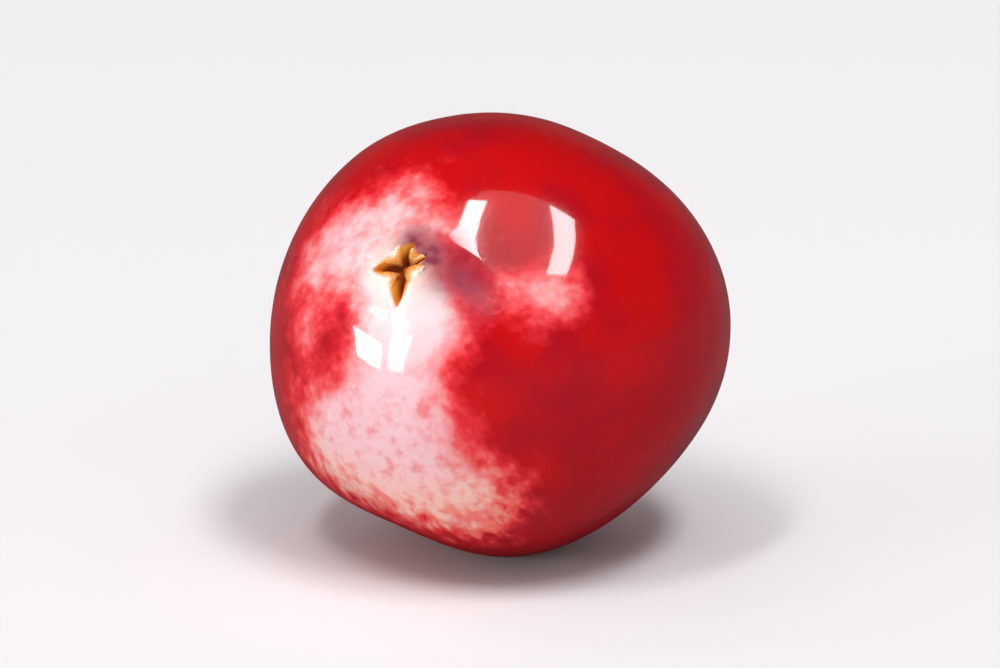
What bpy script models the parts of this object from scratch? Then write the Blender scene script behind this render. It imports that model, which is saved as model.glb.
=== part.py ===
"""One ripe cranberry, lying on a small flat spot with its blossom end turned up and towards the front.

Lengths are metres and +Z is up. The floor is z = 0, and the origin is under the middle of the berry's box.
The berry is one grown body. It is shaped upright, blossom end at +Z, and then laid down as it lies.
A place on the skin is given by its bearing round the stalk line, from +X towards +Y, and its polar angle,
which is 0 at the blossom end and 180 degrees at the stalk end.
"""

import math

import bmesh
import bpy
from mathutils import Euler, Vector, noise

MM = 0.001

# Half sizes of the plump body before anything presses it: across both ways, and along the stalk line.
HALF_WIDTH = 10.00 * MM
HALF_BREADTH = 9.70 * MM
HALF_LENGTH = 9.75 * MM

# Slow unevenness of the skin, and the faint four-sided form that its four chambers give it.
SWELL_HEIGHT = 0.14 * MM
SWELL_SCALE = 1.5
SWELL_PLACE = Vector((3.7, 1.2, 8.4))
CHAMBERS = 4
CHAMBER_SWELL = 0.05 * MM

# Broad presses and bulges: bearing and polar angle in degrees, height, and half width along the skin.
PRESSES = (
    (238, 94, -0.52 * MM, 3.9 * MM),
    (309, 118, -0.46 * MM, 6.0 * MM),
    (213, 79, 0.32 * MM, 3.6 * MM),
    (50, 84, -0.34 * MM, 4.6 * MM),
    (124, 64, 0.20 * MM, 4.4 * MM),
    (8, 28, -0.50 * MM, 3.2 * MM),
    (214, 36, -0.20 * MM, 2.4 * MM),
)

# The fold that runs from the blossom end across the nearest press.
FOLD_START = (70, 7.5)
FOLD_END = (-26, 29)
FOLD_DEPTH = 0.26 * MM
FOLD_HALF_WIDTH = 0.65 * MM

# The blossom end: a basin, and in it a low round seat that carries the four sepals.
BASIN_DEPTH = 0.42 * MM
BASIN_HALF_WIDTH = 3.8 * MM
SEAT_RADIUS = 1.95 * MM
SEAT_HEIGHT = 0.24 * MM
SEAT_EDGE = 1.10 * MM

# The sepals fold inwards and nearly close. Slits part them: bearing in degrees and length from the middle.
SLITS = ((24, 1.25 * MM), (84, 1.50 * MM), (166, 1.75 * MM), (264, 1.90 * MM))
SLIT_DEPTH = 0.60 * MM
SLIT_HALF_WIDTH = 0.13 * MM
SLIT_WIDENING = 0.15 * MM
SEPAL_RISES = (0.05 * MM, 0.16 * MM, 0.20 * MM, 0.30 * MM)
SEPAL_CREST_RADIUS = 0.95 * MM
SEPAL_CREST_HALF_WIDTH = 0.75 * MM
PIT_RADIUS = 0.42 * MM
PIT_DEPTH = 0.75 * MM
PIT_EDGE = 0.30 * MM

# The stalk end: a dimple with the round scar that the stalk left.
STALK_DIMPLE_DEPTH = 0.55 * MM
STALK_DIMPLE_HALF_WIDTH = 2.3 * MM
SCAR_RADIUS = 0.72 * MM
SCAR_LIP = 0.15 * MM
SCAR_LIP_HALF_WIDTH = 0.30 * MM
SCAR_HOLLOW = 0.24 * MM

# How the berry lies: it is turned about the stalk line, then the blossom end leans and is headed round.
LEAN = math.radians(57.6)
HEADING = math.radians(-30.6)
ROLL = math.radians(17.6)
FLAT_SPOT_DEPTH = 0.20 * MM

# Mesh fineness: points round the stalk line, and rings from end to end, which lie closer near both ends.
SEGMENTS = 90
RINGS = 62
RING_CROWDING = 0.85


def clear_scene():
    for item in list(bpy.data.objects):
        bpy.data.objects.remove(item, do_unlink=True)


def skin_material():
    """Wet, taut red skin."""
    material = bpy.data.materials.new("cranberry_skin")
    material.use_nodes = True
    shader = material.node_tree.nodes["Principled BSDF"]
    shader.inputs["Base Color"].default_value = (0.46, 0.012, 0.018, 1.0)
    shader.inputs["Roughness"].default_value = 0.18
    shader.inputs["Metallic"].default_value = 0.0
    return material


def towards(bearing, polar):
    """The unit direction at a bearing and a polar angle, both in degrees."""
    around, down = math.radians(bearing), math.radians(polar)
    return Vector((math.sin(down) * math.cos(around), math.sin(down) * math.sin(around), math.cos(down)))


def bump(distance, half_width):
    """1 at no distance, falling smoothly to nothing past about two half widths."""
    return math.exp(-((distance / half_width) ** 2))


def inside(distance, radius, edge):
    """1 well inside a radius and 0 well outside it, with a smooth edge."""
    return 1 / (1 + math.exp(min(4 * (distance - radius) / edge, 60)))


def along_skin(direction, place):
    """Distance along the skin between two unit directions."""
    return HALF_WIDTH * direction.angle(place)


def distance_to_fold(direction):
    """Distance along the skin to the nearest point of the fold, and the share of the fold before that point."""
    start, end = towards(*FOLD_START), towards(*FOLD_END)
    run = end - start
    share = min(max((direction - start).dot(run) / run.length_squared, 0), 1)
    return along_skin(direction, (start + run * share).normalized()), share


def plump_body(direction):
    """Radius of the plump body with its slow unevenness, presses and bulges."""
    scaled = Vector((direction.x / HALF_WIDTH, direction.y / HALF_BREADTH, direction.z / HALF_LENGTH))
    radius = 1 / scaled.length
    radius += SWELL_HEIGHT * noise.noise(direction * SWELL_SCALE + SWELL_PLACE)
    bearing = math.atan2(direction.y, direction.x)
    radius += CHAMBER_SWELL * math.cos(CHAMBERS * bearing) * direction.xy.length_squared
    for bearing, polar, height, half_width in PRESSES:
        radius += height * bump(along_skin(direction, towards(bearing, polar)), half_width)
    return radius


def sepal_rise(away, bearing):
    """Height of the four folded sepals over their seat: each is arched between the slits beside it."""
    for number, rise in enumerate(SEPAL_RISES):
        start = SLITS[number][0]
        spread = (SLITS[(number + 1) % len(SLITS)][0] - start) % 360
        across = (bearing - start) % 360 / spread
        if across < 1:
            return rise * 4 * across * (1 - across) * bump(away - SEPAL_CREST_RADIUS, SEPAL_CREST_HALF_WIDTH)
    return 0


def slit_depth(away, bearing):
    """Depth of the slits between the sepals: each is widest and deepest at the middle."""
    depth = 0
    for slit_bearing, length in SLITS:
        off = math.radians(bearing - slit_bearing)
        share = away * math.cos(off) / length
        if 0 < share < 1:
            half_width = SLIT_HALF_WIDTH + SLIT_WIDENING * (1 - share)
            cut = inside(abs(away * math.sin(off)), half_width, half_width)
            depth = max(depth, SLIT_DEPTH * (1 - share**2) * cut)
    return depth


def blossom_end(direction):
    """Height of the skin round the blossom end over the plump body."""
    away = along_skin(direction, Vector((0, 0, 1)))
    height = -BASIN_DEPTH * bump(away, BASIN_HALF_WIDTH)
    height += SEAT_HEIGHT * inside(away, SEAT_RADIUS, SEAT_EDGE)
    bearing = math.degrees(math.atan2(direction.y, direction.x))
    middle = inside(away, PIT_RADIUS, PIT_EDGE)
    height += (sepal_rise(away, bearing) - slit_depth(away, bearing)) * (1 - middle)
    return height - PIT_DEPTH * middle


def stalk_end(direction):
    """Height of the skin round the stalk end over the plump body."""
    away = along_skin(direction, Vector((0, 0, -1)))
    height = -STALK_DIMPLE_DEPTH * bump(away, STALK_DIMPLE_HALF_WIDTH)
    height += SCAR_LIP * bump(away - SCAR_RADIUS, SCAR_LIP_HALF_WIDTH)
    height -= SCAR_HOLLOW * inside(away, SCAR_RADIUS, SCAR_LIP_HALF_WIDTH)
    return height


def skin_radius(direction):
    """Radius of the finished skin in a unit direction."""
    aside, share = distance_to_fold(direction)
    fold = FOLD_DEPTH * (1 - share**2) * bump(aside, FOLD_HALF_WIDTH)
    return plump_body(direction) - fold + blossom_end(direction) + stalk_end(direction)


def crowded(polar):
    """A polar angle moved so that rings lie closer together near both ends."""
    return polar - RING_CROWDING / 2 * math.sin(2 * polar)


def grown_body():
    """The whole berry upright: a sphere whose points are moved out to the skin."""
    shape = bmesh.new()
    bmesh.ops.create_uvsphere(shape, u_segments=SEGMENTS, v_segments=RINGS, radius=1)
    for point in shape.verts:
        polar = crowded(point.co.angle(Vector((0, 0, 1))))
        bearing = math.atan2(point.co.y, point.co.x)
        direction = towards(math.degrees(bearing), math.degrees(polar))
        point.co = direction * skin_radius(direction)
    return shape


def lay_down(shape):
    """Turns the berry as it lies."""
    lying = Euler((LEAN, 0, HEADING)).to_matrix() @ Euler((0, 0, ROLL)).to_matrix()
    bmesh.ops.transform(shape, matrix=lying.to_4x4(), verts=shape.verts)


def press_flat_spot(shape):
    """Cuts the small flat spot that the berry rests on, and brings the origin under the middle of the box."""
    floor = min(point.co.z for point in shape.verts) + FLAT_SPOT_DEPTH
    cut = bmesh.ops.bisect_plane(
        shape,
        geom=list(shape.verts) + list(shape.edges) + list(shape.faces),
        plane_co=(0, 0, floor),
        plane_no=(0, 0, -1),
        clear_outer=True,
    )
    for face in shape.faces:
        face.smooth = True
    rim = [item for item in cut["geom_cut"] if isinstance(item, bmesh.types.BMEdge)]
    flat_spot = bmesh.ops.contextual_create(shape, geom=rim)
    for face in flat_spot["faces"]:
        face.smooth = False
    bmesh.ops.recalc_face_normals(shape, faces=shape.faces)
    across = [point.co.x for point in shape.verts]
    along = [point.co.y for point in shape.verts]
    middle = Vector(((min(across) + max(across)) / 2, (min(along) + max(along)) / 2, floor))
    bmesh.ops.translate(shape, vec=-middle, verts=shape.verts)


def main():
    clear_scene()
    shape = grown_body()
    lay_down(shape)
    press_flat_spot(shape)
    mesh = bpy.data.meshes.new("cranberry")
    shape.to_mesh(mesh)
    shape.free()
    mesh.materials.append(skin_material())
    bpy.context.scene.collection.objects.link(bpy.data.objects.new("cranberry", mesh))


main()
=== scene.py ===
"""One fresh cranberry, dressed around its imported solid.

Lengths are metres, +Z is up, and the floor is z = 0. The berry is shaped upright, blossom end at +Z, and is
then laid down as it lies. A place on it is a bearing round the stalk line, from +X towards +Y, and a polar
angle, which is 0 at the blossom end and 180 at the stalk end. Both are in degrees.
"""

import math

import bpy
import numpy as np
from mathutils import Euler, Matrix, Vector, noise


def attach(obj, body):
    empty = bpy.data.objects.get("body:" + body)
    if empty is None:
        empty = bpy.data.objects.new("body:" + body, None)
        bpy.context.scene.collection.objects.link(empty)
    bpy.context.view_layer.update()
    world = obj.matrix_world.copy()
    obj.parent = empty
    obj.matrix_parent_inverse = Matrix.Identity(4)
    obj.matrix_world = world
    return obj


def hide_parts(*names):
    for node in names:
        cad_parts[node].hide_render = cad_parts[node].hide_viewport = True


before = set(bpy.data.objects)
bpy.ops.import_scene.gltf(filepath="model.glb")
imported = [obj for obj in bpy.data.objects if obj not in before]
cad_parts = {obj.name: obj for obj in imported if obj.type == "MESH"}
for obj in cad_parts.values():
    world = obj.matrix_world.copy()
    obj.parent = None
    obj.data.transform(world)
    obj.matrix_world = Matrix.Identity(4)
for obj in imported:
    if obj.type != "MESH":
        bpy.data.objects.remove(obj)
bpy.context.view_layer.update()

# The skin: one taut, wet, glossy skin grown over the whole plump fruit, with no seam in it.
# It dips to a basin at the blossom end, where four fleshy sepals fold in over a pit, and to a dimple at the
# stalk end. Broad presses, a fold and a small flat spot under its weight make it uneven.
MM = 0.001
HALF_SIZES = np.array((10.00, 9.70, 9.75)) * MM
SWELL_HEIGHT = 0.14 * MM
SWELL_SCALE = 1.5
SWELL_PLACE = Vector((3.7, 1.2, 8.4))
CHAMBERS = 4
CHAMBER_SWELL = 0.05 * MM

# Ripples: scale of the noise, and height.
RIPPLES = ((6.5, 0.0075 * MM), (17.0, 0.0012 * MM))

# Presses and bulges: bearing, polar angle, height and half width along the skin.
PRESSES = (
    (238, 94, -0.52 * MM, 3.9 * MM),
    (309, 118, -0.46 * MM, 6.0 * MM),
    (213, 79, 0.32 * MM, 3.6 * MM),
    (50, 84, -0.34 * MM, 4.6 * MM),
    (124, 64, 0.20 * MM, 4.4 * MM),
    (8, 28, -0.50 * MM, 3.2 * MM),
    (214, 36, -0.20 * MM, 2.4 * MM),
)

# The fold, and the painted shade that darkens the skin in it and on its lower side, where the skin is also
# dull.
FOLD_START = (70, 7.5)
FOLD_END = (-26, 29)
FOLD_DEPTH = 0.26 * MM
FOLD_HALF_WIDTH = 0.65 * MM
FOLD_SHADE_END = (-31, 29.3)
FOLD_SHADE_HALF_WIDTHS = (0.90 * MM, 1.15 * MM)

# The blossom end: the basin, the seat of the sepals, the slits between them, and the pit.
BASIN_DEPTH = 0.42 * MM
BASIN_HALF_WIDTH = 3.8 * MM
SEAT_RADIUS = 1.95 * MM
SEAT_HEIGHT = 0.24 * MM
SEAT_EDGE = 1.10 * MM
SLITS = ((24, 1.25 * MM), (84, 1.50 * MM), (166, 1.75 * MM), (264, 1.90 * MM))
SLIT_BENDS = (8, -6, 8, -9)
SLIT_DEPTH = 0.60 * MM
SLIT_HALF_WIDTH = 0.06 * MM
SLIT_WIDENING = 0.16 * MM
SLIT_STAIN_WIDTH = 0.34 * MM
SEPAL_RISES = (0.05 * MM, 0.16 * MM, 0.20 * MM, 0.30 * MM)
SEPAL_CREST_RADIUS = 0.95 * MM
SEPAL_CREST_HALF_WIDTH = 0.75 * MM
SEPAL_WRINKLE = 0.020 * MM
SEPAL_WRINKLE_SCALE = 38
SEPAL_WRINKLE_STRETCH = (1, 1, 0.2)
SEPAL_WRINKLE_REACH = 1.15 * MM
PIT_RADIUS = 0.46 * MM
PIT_DEPTH = 0.75 * MM
PIT_EDGE = 0.30 * MM
PIT_STAIN_MARGIN = 0.12 * MM

# The stalk end: the dimple, and the hollow that the stalk left, with its lip.
STALK_DIMPLE_DEPTH = 0.55 * MM
STALK_DIMPLE_HALF_WIDTH = 2.3 * MM
SCAR_RADIUS = 0.72 * MM
SCAR_LIP = 0.15 * MM
SCAR_LIP_HALF_WIDTH = 0.30 * MM
SCAR_HOLLOW = 0.24 * MM
SCAR_STAIN_MARGIN = 0.12 * MM
SCAR_STAIN_EDGE = 0.42 * MM

# How the berry lies: it is turned about the stalk line, then the blossom end leans and is headed round.
LEAN = math.radians(57.6)
HEADING = math.radians(-30.6)
ROLL = math.radians(17.6)
LYING = Euler((LEAN, 0, HEADING)).to_matrix() @ Euler((0, 0, ROLL)).to_matrix()
FLAT_SPOT_DEPTH = 0.20 * MM

# Mesh fineness: points round the stalk line, and rings from end to end, which lie closer near both ends.
SEGMENTS = 320
RINGS = 270
RING_CROWDING = 0.80


def towards(bearing, polar):
    """The unit direction at a bearing and a polar angle."""
    around, down = math.radians(bearing), math.radians(polar)
    return np.array((math.sin(down) * math.cos(around), math.sin(down) * math.sin(around), math.cos(down)))


def bump(distance, half_width):
    """1 at no distance, falling smoothly to nothing past about two half widths."""
    return np.exp(-((distance / half_width) ** 2))


def inside(distance, radius, edge):
    """1 well inside a radius and 0 well outside it, with a smooth edge."""
    return 1 / (1 + np.exp(np.minimum(4 * (distance - radius) / edge, 60)))


def along_skin(directions, places):
    """Distance along the skin between unit directions."""
    return HALF_SIZES[0] * np.arccos(np.clip((directions * places).sum(-1), -1, 1))


def uneven(directions, scale, place=Vector()):
    """Smooth noise over the skin, from about -1 to 1."""
    return np.array([noise.noise(Vector(direction) * scale + place) for direction in directions])


def beside_line(directions, start, end):
    """The share of a line over the skin before its nearest point, and the distance to that point."""
    start, end = towards(*start), towards(*end)
    share = np.clip((directions - start) @ (end - start) / ((end - start) @ (end - start)), 0, 1)
    line = start + share[:, None] * (end - start)
    return share, along_skin(directions, line / np.linalg.norm(line, axis=1)[:, None])


def fold(directions):
    """How deep the skin lies in the fold beside the blossom end, 0 to 1."""
    share, aside = beside_line(directions, FOLD_START, FOLD_END)
    return (1 - share**2) * bump(aside, FOLD_HALF_WIDTH)


def painted_fold_shade(directions):
    """How much painted shade darkens the skin in the fold and on its lower side, where it is also dull, 0 to
    1.
    """
    share, aside = beside_line(directions, FOLD_START, FOLD_SHADE_END)
    return (1 - share**3) * bump(aside, np.interp(share, (0, 1), FOLD_SHADE_HALF_WIDTHS))


def plump_body(directions):
    """Radius of the plump body with its unevenness, presses and bulges."""
    radius = 1 / np.linalg.norm(directions / HALF_SIZES, axis=1)
    radius += SWELL_HEIGHT * uneven(directions, SWELL_SCALE, SWELL_PLACE)
    for scale, height in RIPPLES:
        radius += height * uneven(directions, scale)
    bearing = np.arctan2(directions[:, 1], directions[:, 0])
    radius += CHAMBER_SWELL * np.cos(CHAMBERS * bearing) * (directions[:, :2] ** 2).sum(1)
    for bearing, polar, height, half_width in PRESSES:
        radius += height * bump(along_skin(directions, towards(bearing, polar)), half_width)
    return radius - FOLD_DEPTH * fold(directions)


def sepal_rise(away, bearing):
    """Height of the four folded sepals over their seat: each is arched between the slits beside it."""
    rise = np.zeros(len(away))
    for number, height in enumerate(SEPAL_RISES):
        start = SLITS[number][0]
        spread = (SLITS[(number + 1) % len(SLITS)][0] - start) % 360
        across = (bearing - start) % 360 / spread
        arch = np.where(across < 1, 4 * across * (1 - across), 0)
        rise += height * arch * bump(away - SEPAL_CREST_RADIUS, SEPAL_CREST_HALF_WIDTH)
    return rise


def slits(away, bearing):
    """Depth of the slits between the sepals, and how much their dried margins stain the skin, 0 to 1."""
    depth, stain = np.zeros(len(away)), np.zeros(len(away))
    for (slit_bearing, length), bend in zip(SLITS, SLIT_BENDS):
        off = np.radians(bearing - slit_bearing - bend * away / length)
        share = away * np.cos(off) / length
        there = (share > 0) & (share < 1)
        share = np.clip(share, 0, 1)
        aside = np.abs(away * np.sin(off))
        half_width = SLIT_HALF_WIDTH + SLIT_WIDENING * (1 - share)
        depth = np.maximum(depth, there * SLIT_DEPTH * (1 - share**3) * inside(aside, half_width, half_width))
        margin = inside(aside, half_width + SLIT_STAIN_WIDTH * (1 - share**2), SLIT_STAIN_WIDTH)
        stain = np.maximum(stain, there * (1 - share**4) * margin)
    return depth, stain


def skin(directions):
    """Radius of the skin, the stain of the slits and the pit, and the stain of the stalk scar."""
    away = along_skin(directions, np.array((0, 0, 1)))
    bearing = np.degrees(np.arctan2(directions[:, 1], directions[:, 0]))
    radius = plump_body(directions) - BASIN_DEPTH * bump(away, BASIN_HALF_WIDTH)
    radius += SEAT_HEIGHT * inside(away, SEAT_RADIUS, SEAT_EDGE)
    depth, stain = slits(away, bearing)
    pit = inside(away, PIT_RADIUS, PIT_EDGE)
    wrinkles = SEPAL_WRINKLE * uneven(directions * SEPAL_WRINKLE_STRETCH, SEPAL_WRINKLE_SCALE)
    wrinkles *= bump(away, SEPAL_WRINKLE_REACH)
    radius += (sepal_rise(away, bearing) - depth + wrinkles) * (1 - pit) - PIT_DEPTH * pit
    stain = np.maximum(stain, inside(away, PIT_RADIUS + PIT_STAIN_MARGIN, PIT_EDGE))
    stain = (stain + depth / SLIT_DEPTH + pit) / 2
    down = along_skin(directions, np.array((0, 0, -1)))
    radius -= STALK_DIMPLE_DEPTH * bump(down, STALK_DIMPLE_HALF_WIDTH)
    radius += SCAR_LIP * bump(down - SCAR_RADIUS, SCAR_LIP_HALF_WIDTH)
    radius -= SCAR_HOLLOW * inside(down, SCAR_RADIUS, SCAR_LIP_HALF_WIDTH)
    return radius, stain, inside(down, SCAR_RADIUS + SCAR_STAIN_MARGIN, SCAR_STAIN_EDGE)


def plain_mesh(name, points, faces):
    """A mesh object with smooth faces, which sits at the origin."""
    mesh = bpy.data.meshes.new(name)
    mesh.from_pydata([tuple(point) for point in points], [], faces)
    mesh.polygons.foreach_set("use_smooth", [True] * len(mesh.polygons))
    made = bpy.data.objects.new(name, mesh)
    bpy.context.scene.collection.objects.link(made)
    return made


def fan(middle, first, sides):
    """Three-cornered faces from a middle point to the ring of points that starts at another."""
    return [(middle, first + step, first + (step + 1) % sides) for step in range(sides)]


def between_rings(first, rings, sides):
    """Four-cornered faces between rings of points, which follow each other from a first point on."""
    faces = []
    for start in range(first, first + (rings - 1) * sides, sides):
        for step in range(sides):
            after = (step + 1) % sides
            faces.append((start + step, start + sides + step, start + sides + after, start + after))
    return faces


def note(piece, name, values):
    """Keeps a value for each point of a piece, which its material reads."""
    values = np.asarray(values, np.float32)
    kind = "FLOAT_VECTOR" if values.ndim == 2 else "FLOAT"
    layer = piece.data.attributes.new(name, kind, "POINT")
    layer.data.foreach_set("vector" if values.ndim == 2 else "value", values.ravel())


ring_steps = np.pi * np.arange(1, RINGS) / RINGS
ring_polars = ring_steps - RING_CROWDING / 2 * np.sin(2 * ring_steps)
bearings = 2 * np.pi * np.arange(SEGMENTS) / SEGMENTS
directions = np.stack([
    np.outer(np.sin(ring_polars), np.cos(bearings)).ravel(),
    np.outer(np.sin(ring_polars), np.sin(bearings)).ravel(),
    np.repeat(np.cos(ring_polars), SEGMENTS),
], axis=1)
directions = np.vstack([[(0, 0, 1)], directions, [(0, 0, -1)]])
radius, slit_stain, scar_stain = skin(directions)
upright = directions * radius[:, None]


def laid_down(points):
    """Points of the upright berry, moved to where they are on the lying one."""
    return points @ np.array(LYING).T - shift


shift = np.zeros(3)
lying = laid_down(upright)
shift = np.append((lying.min(0) + lying.max(0))[:2] / 2, lying[:, 2].min() + FLAT_SPOT_DEPTH)
lying = laid_down(upright)
lying[:, 2] = np.maximum(lying[:, 2], 0)

stalk_point = len(directions) - 1
faces = fan(0, 1, SEGMENTS) + between_rings(1, RINGS - 1, SEGMENTS)
faces += [face[::-1] for face in fan(stalk_point, stalk_point - SEGMENTS, SEGMENTS)]
skin_piece = plain_mesh("cranberry_skin", lying, faces)
note(skin_piece, "upright", upright / MM)
note(skin_piece, "slit_stain", slit_stain)
note(skin_piece, "scar_stain", scar_stain)
# The painted shade of the fold, which the material lays over the skin's own colour.
note(skin_piece, "painted_fold_shade", painted_fold_shade(directions))

# Paler places, where leaves shaded the skin as it ripened: bearing, polar angle, half width and strength.
PALE_PLACES = (
    (140, 17, 2.4 * MM, 0.76),
    (160, 31, 2.2 * MM, 0.56),
    (244, 6, 2.4 * MM, 0.95),
    (290, 16, 1.8 * MM, 0.90),
    (257, 25, 1.9 * MM, 0.90),
    (256, 37, 2.4 * MM, 0.85),
    (247, 50, 3.2 * MM, 0.90),
    (262, 59, 2.8 * MM, 0.78),
    (231, 62, 2.6 * MM, 0.72),
    (276, 63, 2.2 * MM, 0.52),
    (266, 77, 2.6 * MM, 0.24),
    (345, 40, 1.7 * MM, 0.55),
    (343, 29, 1.5 * MM, 0.36),
    (192, 36, 1.6 * MM, 0.36),
    (208, 48, 2.4 * MM, 0.17),
    (233, 48, 2.0 * MM, 0.66),
    (90, 22, 1.9 * MM, 0.38),
    (66, 14, 1.6 * MM, 0.35),
    (95, 150, 5.0 * MM, 0.24),
    (30, 132, 3.6 * MM, 0.16),
    (165, 112, 3.8 * MM, 0.18),
)
paleness = np.zeros(len(directions))
for bearing, polar, half_width, strength in PALE_PLACES:
    spot = strength * bump(along_skin(directions, towards(bearing, polar)), half_width)
    paleness = 1 - (1 - paleness) * (1 - spot)
note(skin_piece, "paleness", paleness)


def add(tree, kind, inputs=None, **settings):
    """Adds a node, with its settings, and its inputs set or linked."""
    made = tree.nodes.new(kind)
    for name, value in settings.items():
        setattr(made, name, value)
    for name, value in (inputs or {}).items():
        if isinstance(value, bpy.types.NodeSocket):
            tree.links.new(value, made.inputs[name])
        else:
            made.inputs[name].default_value = value
    return made


def mathematics(tree, operation, first, second=0.0, third=0.0):
    """One sum on values: numbers or sockets."""
    return add(tree, "ShaderNodeMath", {0: first, 1: second, 2: third}, operation=operation).outputs[0]


def blend_colour(tree, share, first, second):
    """A colour between two, numbers or sockets, by a share from 0 to 1."""
    made = add(tree, "ShaderNodeMix", {"Factor": share}, data_type="RGBA")
    for socket, value in ((made.inputs[6], first), (made.inputs[7], second)):
        if isinstance(value, bpy.types.NodeSocket):
            tree.links.new(value, socket)
        else:
            socket.default_value = (*value, 1)
    return made.outputs[2]


def step_up(tree, value, low, high):
    """0 below low, 1 above high, and smooth between."""
    inputs = {"Value": value, "From Min": low, "From Max": high}
    return add(tree, "ShaderNodeMapRange", inputs, interpolation_type="SMOOTHSTEP").outputs[0]


def grain(tree, place, scale, detail=2.0, roughness=0.5):
    """Noise from 0 to 1, with its scale in cells for each unit of the place."""
    inputs = {"Vector": place, "Scale": scale, "Detail": detail, "Roughness": roughness}
    return add(tree, "ShaderNodeTexNoise", inputs).outputs["Fac"]


def noted(tree, name, output="Fac"):
    """What note() kept on the piece."""
    return add(tree, "ShaderNodeAttribute", attribute_name=name).outputs[output]


def new_material(name):
    """A new material, its node tree and its shader."""
    made = bpy.data.materials.new(name)
    made.use_nodes = True
    return made, made.node_tree, made.node_tree.nodes["Principled BSDF"]


def finish(shader, values):
    """Sets the sockets of a shader that hold one value throughout."""
    for name, value in values.items():
        shader.inputs[name].default_value = value


RIPE_RED = (0.51, 0.003, 0.005)
DEEP_CRIMSON = (0.385, 0.003, 0.011)
BLUSH = (0.74, 0.030, 0.042)
PINK = (0.80, 0.18, 0.18)
CORAL = (0.82, 0.15, 0.12)
PALE_FLESH = (0.83, 0.53, 0.57)
PEACH_FLESH = (0.88, 0.53, 0.45)
WHITE_FLESH = (0.82, 0.68, 0.68)
# The mauve of the painted shade in the fold.
PAINTED_SHADE_MAUVE = (0.24, 0.030, 0.060)
CREAM = (0.86, 0.73, 0.61)
GOLDEN = (0.69, 0.25, 0.026)
BROWN = (0.33, 0.058, 0.006)
SCAR_RIM = (0.30, 0.10, 0.035)

# How ripe or how pale the skin is where each colour comes in, and how strong each kind of unevenness is.
SKIN_STRETCH = (1, 1, 0.45)
RIPER_SHARE = 0.09
CRIMSON_FROM = (0.37, 0.66)
BLUSH_FROM = (0.66, 1.00)
FRINGE_FROM = (0.86, 1.20)
FLESH_FROM = (1.00, 1.45)
PALE_BORDER = (0.05, 0.40)
PALE_SHIFT = 0.20
PATCHINESS = 0.60
SPECKLING = 0.12
LEAST_FRAY = 0.25
LOWER_FRAY = 0.65
SPECKS_FROM = (0.95, 1.25)
SPECK_CORES = (0.44, 0.74)
SPECK_STRENGTH = 0.42
FINE_SPECK_CORES = (0.50, 0.80)
FINE_SPECK_STRENGTH = 0.16
BLOTCHES_FROM = (0.80, 1.10)
BLOTCH_CORES = (0.50, 0.66)
BLOTCH_STRENGTH = 0.75
SEAT_CREAM = 0.60
SHADE_PATCHINESS = 2.1
GOLDEN_STAIN = (0.08, 0.34)
BROWN_STAIN = (0.45, 0.80)
RIM_STAIN = (0.75, 1.35)
RIM_PATCHINESS = 0.9

# Where the skin changes, in millimetres: levels up the stalk line, and radii from it.
RIPER_LEVELS = (6.5, -2.0)
FRAYED_LEVELS = (7.0, 3.0)
PEACH_LEVELS = (7.0, 3.5)
CORAL_LEVELS = (7.0, 4.5)
BLOTCH_LEVELS = (5.6, 3.4)
BLOSSOM_LEVELS = (0, 1)
WHITE_RADII = (1.5, 4.2)
SPECK_RADII = (2.0, 6.0)
SEAT_RADII = (2.1, 0.8)
MATT_RADII = (3.4, 1.6)

# The gloss: how rough the wet skin is, what matt, dull and dry places add to that, and where they begin.
WET_ROUGHNESS = 0.14
SPECKLED_ROUGHNESS = 0.06
MATT_ROUGHNESS = 0.22
DULL_ROUGHNESS = 0.35
DRY_ROUGHNESS = 0.45
DRY_SLIT = (0.15, 0.50)
DRY_SCAR = (0.40, 0.80)
DULL_FROM = (0.10, 0.50)
MATT_THINNING = 0.75
RIM_FADE = (0.98, 0.66)
DRY_RELIEF = 6.0
SKIN_RELIEF = 0.02 * MM

wet_skin, tree, shader = new_material("wet_skin")
place = noted(tree, "upright", "Vector")
height = add(tree, "ShaderNodeSeparateXYZ", {0: place}).outputs["Z"]
off_line = add(tree, "ShaderNodeVectorMath", {0: place, 1: (1, 1, 0)}, operation="MULTIPLY").outputs[0]
off_line = add(tree, "ShaderNodeVectorMath", {0: off_line}, operation="LENGTH").outputs["Value"]
blossom_side = step_up(tree, height, *BLOSSOM_LEVELS)

# Noise of four sizes, in cells for each millimetre. The finer two are drawn out along the stalk line.
stretched = add(tree, "ShaderNodeMapping", {"Vector": place, "Scale": SKIN_STRETCH}).outputs[0]
broad = grain(tree, place, scale=0.30, detail=3)
patchy = grain(tree, place, scale=0.80)
ragged = grain(tree, stretched, scale=2.2)
speckled = grain(tree, stretched, scale=4.0, detail=1)

# How pale each place is: what is noted there, with a patchy border that frays most on the lower side.
pale = noted(tree, "paleness")
edge = mathematics(tree, "MULTIPLY_ADD", patchy, PATCHINESS, pale)
lower_side = step_up(tree, height, *FRAYED_LEVELS)
frayed = mathematics(tree, "MULTIPLY", lower_side, step_up(tree, pale, *PALE_BORDER))
frayed = mathematics(tree, "MULTIPLY_ADD", frayed, LOWER_FRAY, LEAST_FRAY)
edge = mathematics(tree, "MULTIPLY_ADD", mathematics(tree, "SUBTRACT", ragged, 0.5), frayed, edge)
edge = mathematics(tree, "ADD", edge, PALE_SHIFT)
edge = mathematics(tree, "MULTIPLY_ADD", speckled, SPECKLING, edge)

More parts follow.
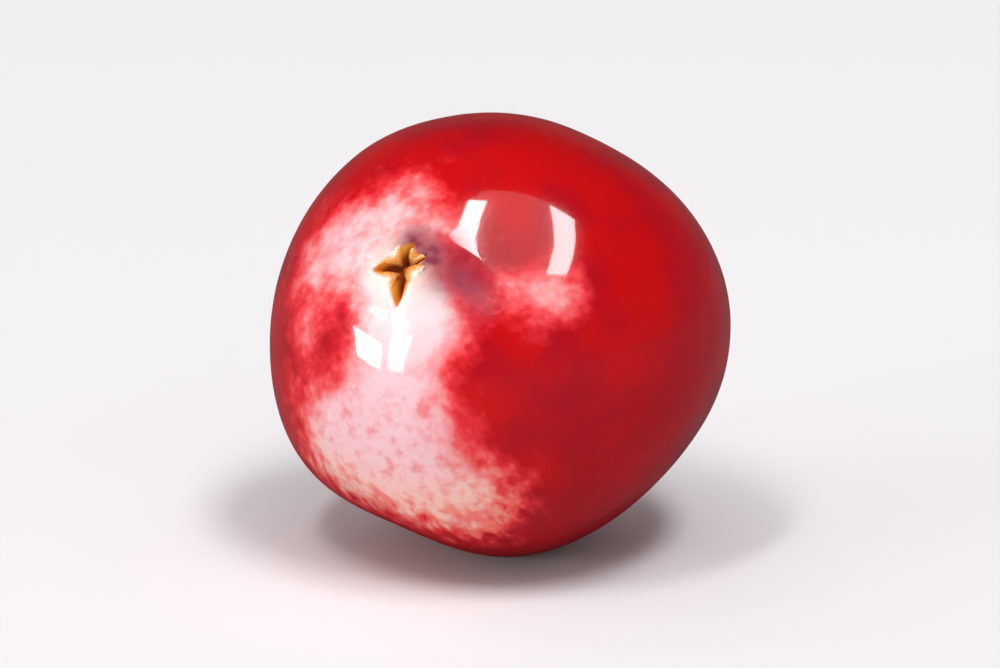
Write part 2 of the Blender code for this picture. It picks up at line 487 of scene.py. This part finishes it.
# From ripe red through a blush and a pink or coral fringe to the pale flesh.
riper = mathematics(tree, "MULTIPLY_ADD", step_up(tree, height, *RIPER_LEVELS), RIPER_SHARE, broad)
colour = blend_colour(tree, step_up(tree, riper, *CRIMSON_FROM), RIPE_RED, DEEP_CRIMSON)
colour = blend_colour(tree, step_up(tree, edge, *BLUSH_FROM), colour, BLUSH)
fringe = blend_colour(tree, step_up(tree, height, *CORAL_LEVELS), PINK, CORAL)
colour = blend_colour(tree, step_up(tree, edge, *FRINGE_FROM), colour, fringe)
flesh = blend_colour(tree, step_up(tree, off_line, *WHITE_RADII), WHITE_FLESH, PALE_FLESH)
flesh = blend_colour(tree, step_up(tree, height, *PEACH_LEVELS), flesh, PEACH_FLESH)
colour = blend_colour(tree, step_up(tree, edge, *FLESH_FROM), colour, flesh)

# Blush specks in the pale flesh, and coral blotches on its lower side.
specks = step_up(tree, grain(tree, place, scale=1.5), *SPECK_CORES)
fine_specks = mathematics(tree, "MULTIPLY", step_up(tree, speckled, *FINE_SPECK_CORES), FINE_SPECK_STRENGTH)
specks = mathematics(tree, "MULTIPLY_ADD", specks, SPECK_STRENGTH, fine_specks)
specks = mathematics(tree, "MULTIPLY", specks, step_up(tree, edge, *SPECKS_FROM))
specks = mathematics(tree, "MULTIPLY", specks, step_up(tree, off_line, *SPECK_RADII))
colour = blend_colour(tree, specks, colour, BLUSH)
blotches = step_up(tree, grain(tree, place, scale=1.0, detail=1), *BLOTCH_CORES)
blotches = mathematics(tree, "MULTIPLY", blotches, BLOTCH_STRENGTH)
blotches = mathematics(tree, "MULTIPLY", blotches, step_up(tree, height, *BLOTCH_LEVELS))
blotches = mathematics(tree, "MULTIPLY", blotches, step_up(tree, edge, *BLOTCHES_FROM))
colour = blend_colour(tree, blotches, colour, CORAL)

# The cream seat, the painted shade of the dull fold, the dried margins of the slits, and the corky rim of the
# scar.
seat = mathematics(tree, "MULTIPLY", step_up(tree, off_line, *SEAT_RADII), blossom_side)
colour = blend_colour(tree, mathematics(tree, "MULTIPLY", seat, SEAT_CREAM), colour, CREAM)
# Painted shade: a dark mauve laid patchily over the skin in the fold and on its lower side.
shade = mathematics(tree, "MULTIPLY", patchy, SHADE_PATCHINESS)
dull_and_painted_shade = mathematics(tree, "MULTIPLY", noted(tree, "painted_fold_shade"), shade)
colour = blend_colour(tree, dull_and_painted_shade, colour, PAINTED_SHADE_MAUVE)
slit = noted(tree, "slit_stain")
colour = blend_colour(tree, step_up(tree, slit, *GOLDEN_STAIN), colour, GOLDEN)
colour = blend_colour(tree, step_up(tree, slit, *BROWN_STAIN), colour, BROWN)
scar = noted(tree, "scar_stain")
corky_edge = mathematics(tree, "MULTIPLY_ADD", speckled, RIM_PATCHINESS, scar)
colour = blend_colour(tree, step_up(tree, corky_edge, *RIM_STAIN), colour, SCAR_RIM)
tree.links.new(colour, shader.inputs["Base Color"])

# Roughness: least where the skin is wet, more round the blossom end and in the fold, most where it is dry.
dry = mathematics(tree, "MAXIMUM", step_up(tree, slit, *DRY_SLIT), step_up(tree, scar, *DRY_SCAR))
matt = mathematics(tree, "MULTIPLY", step_up(tree, off_line, *MATT_RADII), blossom_side)
roughness = mathematics(tree, "MULTIPLY_ADD", speckled, SPECKLED_ROUGHNESS, WET_ROUGHNESS)
for there, more in ((matt, MATT_ROUGHNESS), (dull_and_painted_shade, DULL_ROUGHNESS), (dry, DRY_ROUGHNESS)):
    roughness = mathematics(tree, "MULTIPLY_ADD", there, more, roughness)
tree.links.new(roughness, shader.inputs["Roughness"])

# The film of water: none where the skin is dry or dull, thin round the blossom end, and none seen edge on.
bare = mathematics(tree, "MAXIMUM", dry, mathematics(tree, "MULTIPLY", matt, MATT_THINNING))
bare = mathematics(tree, "ADD", bare, step_up(tree, dull_and_painted_shade, *DULL_FROM))
wet = mathematics(tree, "MAXIMUM", mathematics(tree, "SUBTRACT", 1.0, bare), 0.0)
facing = add(tree, "ShaderNodeLayerWeight").outputs["Facing"]
wet = mathematics(tree, "MULTIPLY", wet, step_up(tree, facing, *RIM_FADE))
tree.links.new(wet, shader.inputs["Coat Weight"])
relief = mathematics(tree, "MULTIPLY_ADD", dry, DRY_RELIEF, 1.0)
relief = mathematics(tree, "MULTIPLY", relief, speckled)
bumps = add(tree, "ShaderNodeBump", {"Height": relief, "Strength": 0.25, "Distance": SKIN_RELIEF})
tree.links.new(bumps.outputs[0], shader.inputs["Normal"])
finish(shader, {
    "Specular IOR Level": 0.15,
    "Coat Roughness": 0.045,
    "Coat IOR": 1.45,
    "Subsurface Weight": 0.22,
    "Subsurface Radius": (1.0, 0.22, 0.14),
    "Subsurface Scale": 1.1 * MM,
})
skin_piece.data.materials.append(wet_skin)
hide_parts("cranberry")
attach(skin_piece, "root")

# The dried tips of the four sepals: thin papery points, cream at the root and brown at the tip, that curl in
# over the pit. Each grows out of the edge of its fleshy sepal and is a little different in size.
TIP_LENGTH = 0.68 * MM
TIP_WIDTH = 0.86 * MM
TIP_THICKNESS = 0.05 * MM
TIP_ROOT_RADIUS = 0.98 * MM
TIP_ROOT_SINK = 0.08 * MM
TIP_CURL = 0.55
TIP_CRINKLE = 0.08 * MM
TIP_SIZES = ((1.00, 0.90), (1.05, 1.10), (0.95, 1.00), (1.25, 1.15))
CRINKLE_SCALE = 3200.0
BLADE_COLUMNS = 25
BLADE_ROWS = 19
BLADE_TAPER = 1.5
BLADE_END_SHARE = 0.02
BLADE_WELD = 1e-7
ARCH_TURN = 2.6
ARCH_HEIGHT = 0.35
RIB_TURN = 9.0
RIB_HEIGHT = 0.03
SIDE_DROP = -0.10
DRIER_ASIDE = 0.45
DRIER_ALONG = 0.95
GRAIN_RELIEF = 0.03 * MM
GOLDEN_FROM = (0.35, 0.85)
BROWN_FROM = (0.80, 1.40)


def new_socket(tree, name, kind, way="INPUT"):
    """One named input or output of a node tree."""
    return tree.interface.new_socket(name=name, in_out=way, socket_type=f"NodeSocket{kind}")


def sepal_tips_tree():
    """A tree that grows one curled, pointed blade at each point, and its inputs by name."""
    tree = bpy.data.node_groups.new("dried_sepal_tips", "GeometryNodeTree")
    inputs = {"Points": new_socket(tree, "Points", "Geometry")}
    for name in ("Length", "Width", "Thickness", "Curl", "Crinkle"):
        inputs[name] = new_socket(tree, name, "Float")
    inputs["Seed"] = new_socket(tree, "Seed", "Int")
    inputs["Material"] = new_socket(tree, "Material", "Material")
    new_socket(tree, "Tips", "Geometry", "OUTPUT")
    given = tree.nodes.new("NodeGroupInput").outputs
    blade = add(tree, "GeometryNodeMeshGrid", {
        "Size X": 2.0, "Size Y": 1.0, "Vertices X": BLADE_COLUMNS, "Vertices Y": BLADE_ROWS,
    })
    spot = add(tree, "ShaderNodeSeparateXYZ", {0: add(tree, "GeometryNodeInputPosition").outputs[0]})
    along = mathematics(tree, "ADD", spot.outputs["Y"], 0.5)
    narrowing = mathematics(tree, "SUBTRACT", 1.0, mathematics(tree, "POWER", along, BLADE_TAPER))
    half_width = mathematics(tree, "MULTIPLY_ADD", narrowing, 0.5, BLADE_END_SHARE)
    half_width = mathematics(tree, "MULTIPLY", half_width, given["Width"])
    aside = mathematics(tree, "POWER", mathematics(tree, "ABSOLUTE", spot.outputs["X"]), 2.0)
    arch = mathematics(tree, "SINE", mathematics(tree, "MULTIPLY", along, ARCH_TURN))
    arch = mathematics(tree, "MULTIPLY", arch, ARCH_HEIGHT)
    lift = mathematics(tree, "SUBTRACT", arch, mathematics(tree, "POWER", along, 2.0))
    lift = mathematics(tree, "MULTIPLY", lift, given["Curl"])
    ribs = mathematics(tree, "COSINE", mathematics(tree, "MULTIPLY", spot.outputs["X"], RIB_TURN))
    sides = mathematics(tree, "MULTIPLY", aside, SIDE_DROP)
    ribs = mathematics(tree, "MULTIPLY_ADD", ribs, RIB_HEIGHT, sides)
    lift = mathematics(tree, "MULTIPLY_ADD", ribs, narrowing, lift)
    shaped = add(tree, "ShaderNodeCombineXYZ", {
        "X": mathematics(tree, "MULTIPLY", along, mathematics(tree, "MULTIPLY", given["Length"], -1.0)),
        "Y": mathematics(tree, "MULTIPLY", spot.outputs["X"], half_width),
        "Z": mathematics(tree, "MULTIPLY", lift, given["Length"]),
    })
    margin = mathematics(tree, "MULTIPLY", along, DRIER_ALONG)
    margin = mathematics(tree, "MULTIPLY_ADD", aside, DRIER_ASIDE, margin)
    edged = add(tree, "GeometryNodeStoreNamedAttribute", {
        "Geometry": blade.outputs[0], "Name": "margin", "Value": margin,
    }, domain="POINT")
    blade = add(tree, "GeometryNodeSetPosition", {
        "Geometry": edged.outputs[0], "Position": shaped.outputs[0],
    })
    upper = add(tree, "GeometryNodeExtrudeMesh", {
        "Mesh": blade.outputs[0], "Offset Scale": given["Thickness"], "Individual": False,
    }, mode="FACES")
    lower = add(tree, "GeometryNodeFlipFaces", {"Mesh": blade.outputs[0]})
    both = add(tree, "GeometryNodeJoinGeometry")
    tree.links.new(upper.outputs[0], both.inputs[0])
    tree.links.new(lower.outputs[0], both.inputs[0])
    closed = add(tree, "GeometryNodeMergeByDistance", {"Geometry": both.outputs[0], "Distance": BLADE_WELD})
    turn = add(tree, "GeometryNodeInputNamedAttribute", {"Name": "turn"}, data_type="FLOAT_VECTOR")
    size = add(tree, "GeometryNodeInputNamedAttribute", {"Name": "size"}, data_type="FLOAT_VECTOR")
    copies = add(tree, "GeometryNodeInstanceOnPoints", {
        "Points": given["Points"],
        "Instance": closed.outputs[0],
        "Rotation": turn.outputs[0],
        "Scale": size.outputs[0],
    })
    real = add(tree, "GeometryNodeRealizeInstances", {"Geometry": copies.outputs[0]})
    crumple = add(tree, "ShaderNodeTexNoise", {
        "Scale": CRINKLE_SCALE, "Detail": 1.0, "W": given["Seed"],
    }, noise_dimensions="4D").outputs["Color"]
    offset = add(tree, "ShaderNodeVectorMath", {0: crumple, 1: (0.5, 0.5, 0.5)}, operation="SUBTRACT")
    offset = add(tree, "ShaderNodeVectorMath", {
        0: offset.outputs[0], "Scale": given["Crinkle"],
    }, operation="SCALE")
    crinkled = add(tree, "GeometryNodeSetPosition", {
        "Geometry": real.outputs[0], "Offset": offset.outputs[0],
    })
    dressed = add(tree, "GeometryNodeSetMaterial", {
        "Geometry": crinkled.outputs[0], "Material": given["Material"],
    })
    tree.links.new(dressed.outputs[0], tree.nodes.new("NodeGroupOutput").inputs[0])
    return tree, inputs


def grown(points, name, made, values):
    """A plain mesh object of what a node tree grows on a piece of points."""
    tree, inputs = made
    modifier = points.modifiers.new("grow", "NODES")
    modifier.node_group = tree
    for label, value in values.items():
        modifier[inputs[label].identifier] = value
    evaluated = points.evaluated_get(bpy.context.evaluated_depsgraph_get())
    mesh = bpy.data.meshes.new_from_object(evaluated)
    mesh.name = name
    bpy.data.objects.remove(points)
    piece = bpy.data.objects.new(name, mesh)
    bpy.context.scene.collection.objects.link(piece)
    mesh.polygons.foreach_set("use_smooth", [True] * len(mesh.polygons))
    return piece


def dry_grain_group():
    """A node group for the fine grain of every dried piece: its mask, and the normals of its relief."""
    group = bpy.data.node_groups.new("dry_grain", "ShaderNodeTree")
    for name in ("Scale", "Detail", "Strength"):
        new_socket(group, name, "Float")
    new_socket(group, "Grain", "Float", "OUTPUT")
    new_socket(group, "Normal", "Vector", "OUTPUT")
    given = group.nodes.new("NodeGroupInput").outputs
    place = add(group, "ShaderNodeTexCoord").outputs["Object"]
    fine = grain(group, place, given["Scale"], given["Detail"])
    bumps = add(group, "ShaderNodeBump", {
        "Height": fine, "Strength": given["Strength"], "Distance": GRAIN_RELIEF,
    })
    add(group, "NodeGroupOutput", {"Grain": fine, "Normal": bumps.outputs[0]})
    return group


def dry_grain(tree, scale, detail, strength):
    """The dry grain placed in a material, with its scale in cells for each metre."""
    inputs = {"Scale": scale, "Detail": detail, "Strength": strength}
    return add(tree, "ShaderNodeGroup", inputs, node_tree=dry_grain_nodes).outputs


dry_grain_nodes = dry_grain_group()
dried_sepal, tree, shader = new_material("dried_sepal")
fibres = dry_grain(tree, scale=9000, detail=3, strength=0.5)
dried = mathematics(tree, "MULTIPLY_ADD", fibres["Grain"], 0.5, noted(tree, "margin"))
colour = blend_colour(tree, step_up(tree, dried, *GOLDEN_FROM), CREAM, GOLDEN)
colour = blend_colour(tree, step_up(tree, dried, *BROWN_FROM), colour, BROWN)
tree.links.new(colour, shader.inputs["Base Color"])
tree.links.new(fibres["Normal"], shader.inputs["Normal"])
tree.links.new(mathematics(tree, "MULTIPLY_ADD", fibres["Grain"], 0.2, 0.5), shader.inputs["Roughness"])

roots, turns = [], []
for number, (slit_bearing, length) in enumerate(SLITS):
    spread = (SLITS[(number + 1) % len(SLITS)][0] - slit_bearing) % 360
    middle = slit_bearing + spread / 2
    direction = towards(middle, math.degrees(TIP_ROOT_RADIUS / HALF_SIZES[0]))
    roots.append(direction * (skin(direction[None])[0][0] - TIP_ROOT_SINK))
    turns.append(LYING @ Euler((0, 0, math.radians(middle))).to_matrix())
tip_points = plain_mesh("tip_roots", laid_down(np.array(roots)), [])
note(tip_points, "turn", [tuple(turn.to_euler()) for turn in turns])
note(tip_points, "size", [(length, width, 1) for length, width in TIP_SIZES])
sepal_tips = grown(tip_points, "sepal_tips", sepal_tips_tree(), {
    "Length": TIP_LENGTH,
    "Width": TIP_WIDTH,
    "Thickness": TIP_THICKNESS,
    "Curl": TIP_CURL,
    "Crinkle": TIP_CRINKLE,
    "Seed": 4,
    "Material": dried_sepal,
})
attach(sepal_tips, "root")

# The dried foot of the style: a short brown stub, a little flared, that stands in the pit between the sepals.
# It is all that is left of the flower's middle, and grows out of the floor of the pit.
STYLE_SIDES = 24
STYLE_DRYNESS = (0.6, 1.3)
STYLE_PROFILE = (
    (0.20, -0.10),
    (0.16, 0.05),
    (0.11, 0.20),
    (0.10, 0.38),
    (0.13, 0.46),
    (0.09, 0.50),
    (0.03, 0.46),
)


def turned(name, profile, sides, foot):
    """A closed solid turned round the berry's stalk line from (radius, height) pairs in millimetres."""
    around = 2 * np.pi * np.arange(sides) / sides
    points = np.array([(r * math.cos(a), r * math.sin(a), z) for r, z in profile for a in around])
    faces = [face[::-1] for face in between_rings(0, len(profile), sides)]
    faces += [tuple(range(sides))[::-1], tuple(range(len(points) - sides, len(points)))]
    return plain_mesh(name, laid_down(points * MM + (0, 0, foot)), faces)


pit_floor = skin(np.array([(0.0, 0.0, 1.0)]))[0][0]
style_stub = turned("style_stub", STYLE_PROFILE, STYLE_SIDES, pit_floor)
note(style_stub, "margin", np.repeat(np.linspace(*STYLE_DRYNESS, len(STYLE_PROFILE)), STYLE_SIDES))
style_stub.data.materials.append(dried_sepal)
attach(style_stub, "root")

# The stalk scar: the corky plug that closed the hollow where the stalk came off. It is slightly domed and
# rough, and its thin edge is sunk in the skin of the hollow.
PLUG_RADIUS = 0.66 * MM
PLUG_RISE = 0.09 * MM
PLUG_ROUGHNESS = 0.025 * MM
PLUG_LUMP_SCALE = 60
PLUG_CRUMB_SCALE = 140
PLUG_CRUMB_SHARE = 0.6
PLUG_SINK = 0.05 * MM
PLUG_RINGS = 22
PLUG_SIDES = 72
CORK = (0.22, 0.10, 0.045)
PITH = (0.46, 0.27, 0.13)
PITH_FROM = (0.35, 0.65)


def at_stalk_end(away, bearings):
    """Unit directions at distances from the stalk end along the skin, and bearings in radians."""
    down = away / HALF_SIZES[0]
    return np.stack([np.sin(down) * np.cos(bearings), np.sin(down) * np.sin(bearings), -np.cos(down)], axis=1)


def plug_height(directions):
    """Height of the rough plug over the hollow, less towards its sunk edge."""
    share = along_skin(directions, np.array((0, 0, -1))) / PLUG_RADIUS
    height = PLUG_RISE * (1 - share**4) - PLUG_SINK * share**4
    rough = uneven(directions, PLUG_LUMP_SCALE) + PLUG_CRUMB_SHARE * uneven(directions, PLUG_CRUMB_SCALE)
    return height + PLUG_ROUGHNESS * rough * (1 - share**4)


ring_share = np.repeat(np.arange(1, PLUG_RINGS + 1) / PLUG_RINGS, PLUG_SIDES)
plug_bearings = np.tile(2 * np.pi * np.arange(PLUG_SIDES) / PLUG_SIDES, PLUG_RINGS)
plug_ways = np.vstack([[(0, 0, -1)], at_stalk_end(ring_share * PLUG_RADIUS, plug_bearings)])
plug_points = plug_ways * (skin(plug_ways)[0] + plug_height(plug_ways))[:, None]
faces = fan(0, 1, PLUG_SIDES) + between_rings(1, PLUG_RINGS, PLUG_SIDES)
faces = [face[::-1] for face in faces]
faces.append(tuple(range(len(plug_ways) - PLUG_SIDES, len(plug_ways))))
stalk_scar = plain_mesh("stalk_scar", laid_down(plug_points), faces)
corky_scar, tree, shader = new_material("corky_scar")
crumbs = dry_grain(tree, scale=7000, detail=3, strength=0.6)
colour = blend_colour(tree, step_up(tree, crumbs["Grain"], *PITH_FROM), CORK, PITH)
tree.links.new(colour, shader.inputs["Base Color"])
tree.links.new(crumbs["Normal"], shader.inputs["Normal"])
finish(shader, {"Roughness": 0.75})
stalk_scar.data.materials.append(corky_scar)
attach(stalk_scar, "root")

# The ends of the stalk's sap strands: a ring of small hard dots and one in the middle, set in the corky plug.
# They are the broken ends of the strands that fed the berry, half sunk in the cork.
STRAND_COUNT = 9
STRAND_RING_RADIUS = 0.38 * MM
STRAND_RADIUS = 0.050 * MM
STRAND_UNEVENNESS = 0.3
DARK_STRAND = (0.065, 0.020, 0.010)
WORN_STRAND = (0.16, 0.060, 0.028)
WORN_FROM = (0.35, 0.70)


def strand_ends_tree():
    """A tree that sets one small uneven grain on each point, and its inputs by name."""
    tree = bpy.data.node_groups.new("strand_ends", "GeometryNodeTree")
    inputs = {"Points": new_socket(tree, "Points", "Geometry")}
    for name in ("Radius", "Unevenness"):
        inputs[name] = new_socket(tree, name, "Float")
    inputs["Seed"] = new_socket(tree, "Seed", "Int")
    inputs["Material"] = new_socket(tree, "Material", "Material")
    new_socket(tree, "Ends", "Geometry", "OUTPUT")
    given = tree.nodes.new("NodeGroupInput").outputs
    ball = add(tree, "GeometryNodeMeshIcoSphere", {"Radius": given["Radius"], "Subdivisions": 3})
    least = mathematics(tree, "SUBTRACT", 1.0, given["Unevenness"])
    most = mathematics(tree, "ADD", 1.0, given["Unevenness"])
    sizes = add(tree, "FunctionNodeRandomValue", {
        2: least, 3: most, "Seed": given["Seed"],
    }, data_type="FLOAT")
    copies = add(tree, "GeometryNodeInstanceOnPoints", {
        "Points": given["Points"], "Instance": ball.outputs[0], "Scale": sizes.outputs[1],
    })
    real = add(tree, "GeometryNodeRealizeInstances", {"Geometry": copies.outputs[0]})
    dressed = add(tree, "GeometryNodeSetMaterial", {
        "Geometry": real.outputs[0], "Material": given["Material"],
    })
    tree.links.new(dressed.outputs[0], tree.nodes.new("NodeGroupOutput").inputs[0])
    return tree, inputs


ring_bearings = 2 * np.pi * np.arange(STRAND_COUNT) / STRAND_COUNT
ring_ways = at_stalk_end(np.full(STRAND_COUNT, STRAND_RING_RADIUS), ring_bearings)
strand_ways = np.vstack([[(0, 0, -1)], ring_ways])
strand_points = strand_ways * (skin(strand_ways)[0] + plug_height(strand_ways))[:, None]
strand_places = plain_mesh("strand_places", laid_down(strand_points), [])
hard_strand, tree, shader = new_material("hard_strand")
hardened = dry_grain(tree, scale=12000, detail=2, strength=0.4)
colour = blend_colour(tree, step_up(tree, hardened["Grain"], *WORN_FROM), DARK_STRAND, WORN_STRAND)
tree.links.new(colour, shader.inputs["Base Color"])
tree.links.new(hardened["Normal"], shader.inputs["Normal"])
finish(shader, {"Roughness": 0.6})
strand_ends = grown(strand_places, "strand_ends", strand_ends_tree(), {
    "Radius": STRAND_RADIUS,
    "Unevenness": STRAND_UNEVENNESS,
    "Seed": 7,
    "Material": hard_strand,
})
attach(strand_ends, "root")

# The floor: a plain pale table top, wide enough to fill every view.
# It is dimmer in the gloss than it looks, so that the berry keeps its own deep red down to its foot.
TABLE_RADIUS = 3.0
TABLE_SIDES = 72
TABLE_WHITE = (0.77, 0.755, 0.765)
TABLE_IN_GLOSS = (0.10, 0.09, 0.095)
around = 2 * np.pi * np.arange(TABLE_SIDES) / TABLE_SIDES
table_rim = [(TABLE_RADIUS * math.cos(a), TABLE_RADIUS * math.sin(a), 0) for a in around]
floor = plain_mesh("table", table_rim, [range(TABLE_SIDES)])
table_top, tree, shader = new_material("table_top")
seen_in_gloss = add(tree, "ShaderNodeLightPath").outputs["Is Glossy Ray"]
colour = blend_colour(tree, seen_in_gloss, TABLE_WHITE, TABLE_IN_GLOSS)
tree.links.new(colour, shader.inputs["Base Color"])
finish(shader, {"Roughness": 0.55, "Specular IOR Level": 0.0})
floor.data.materials.append(table_top)

# The light: soft windows at the left and in front, which show in the gloss, a broad light from above and
# a low one from the right, and an even pale room, which is dimmer in the gloss, and darkest overhead.
MIDDLE = Vector((0, 0, 9.5 * MM))
WINDOW_DISTANCE = 1.20
ROOM_COLOUR = (0.90, 0.88, 0.90, 1)
ROOM_SEEN = 0.83
ROOM_FILL = 0.31
WALL_IN_GLOSS = 0.09
CEILING_IN_GLOSS = 0.015
CEILING_TO_WALL = (0.6, -0.05)
ELEVATION = math.radians(17)
RIGHT = Vector((1, 0, 0))
UP = Vector((0, math.sin(ELEVATION), math.cos(ELEVATION)))
BACK = Vector((0, -math.cos(ELEVATION), math.sin(ELEVATION)))


def window(name, low, high, width, power):
    """A softbox between two directions in the camera's axes: right, up and towards the camera."""
    low, high = ((RIGHT * x + UP * y + BACK * z).normalized() * WINDOW_DISTANCE for x, y, z in (low, high))
    lamp = bpy.data.lights.new(name, "AREA")
    lamp.shape = "RECTANGLE"
    lamp.size, lamp.size_y = width, (high - low).length
    lamp.energy = power
    made = bpy.data.objects.new(name, lamp)
    facing, upward = (low + high).normalized(), (high - low).normalized()
    made.matrix_world = Matrix((upward.cross(facing), upward, facing)).transposed().to_4x4()
    made.location = MIDDLE + (low + high) / 2
    made.visible_camera = False
    bpy.context.scene.collection.objects.link(made)


def broad_light(name, direction, energy, spread):
    """An even light from one side, spread over so many degrees and hidden from the gloss."""
    lamp = bpy.data.lights.new(name, "SUN")
    lamp.energy = energy
    lamp.angle = math.radians(spread)
    made = bpy.data.objects.new(name, lamp)
    made.rotation_euler = Vector(direction).to_track_quat("Z", "Y").to_euler()
    made.visible_glossy = False
    bpy.context.scene.collection.objects.link(made)


window("window_left", (-0.81, -0.155, 0.56), (-0.77, 0.155, 0.62), 0.21, 1.98)
window("window_left_pane", (-0.94, -0.22, 0.25), (-0.93, 0.11, 0.345), 0.33, 7.0)
window("window_front_left", (-0.29, 0.64, 0.71), (-0.20, 0.86, 0.47), 0.11, 3.6)
window("window_front_right", (0.20, 0.61, 0.77), (0.28, 0.88, 0.40), 0.22, 6.3)
window("window_front_pane", (0.03, 0.45, 0.89), (0.06, 0.92, 0.38), 0.62, 1.7)
broad_light("overhead", (-0.65, 0.26, 0.72), 0.46, 80)
broad_light("low_fill", (0.55, -0.80, 0.16), 0.42, 80)
room = bpy.data.worlds.new("room")
room.use_nodes = True
tree = room.node_tree
sky_way = add(tree, "ShaderNodeTexCoord").outputs["Generated"]
above_floor = add(tree, "ShaderNodeSeparateXYZ", {0: sky_way}).outputs["Z"]
lower = step_up(tree, above_floor, *CEILING_TO_WALL)
gloss = mathematics(tree, "MULTIPLY_ADD", lower, WALL_IN_GLOSS - CEILING_IN_GLOSS, CEILING_IN_GLOSS)
gloss = mathematics(tree, "SUBTRACT", gloss, ROOM_FILL)
ray = add(tree, "ShaderNodeLightPath").outputs
strength = mathematics(tree, "MULTIPLY_ADD", ray["Is Camera Ray"], ROOM_SEEN - ROOM_FILL, ROOM_FILL)
strength = mathematics(tree, "MULTIPLY_ADD", ray["Is Glossy Ray"], gloss, strength)
tree.links.new(strength, tree.nodes["Background"].inputs["Strength"])
finish(tree.nodes["Background"], {"Color": ROOM_COLOUR})
bpy.context.scene.world = room
bpy.context.scene.view_settings.view_transform = "Standard"

# The camera: at the photograph's angle, a long way off for its size, as for a close-up of one berry.
CAMERA_DISTANCE = 0.30
CAMERA_LENS = 250
CAMERA_NEAREST = 0.01
camera = bpy.data.objects.new("camera", bpy.data.cameras.new("camera"))
camera.data.lens = CAMERA_LENS
camera.data.clip_start = CAMERA_NEAREST
camera.location = MIDDLE + BACK * CAMERA_DISTANCE
camera.rotation_euler = BACK.to_track_quat("Z", "Y").to_euler()
bpy.context.scene.collection.objects.link(camera)
bpy.context.scene.camera = camera
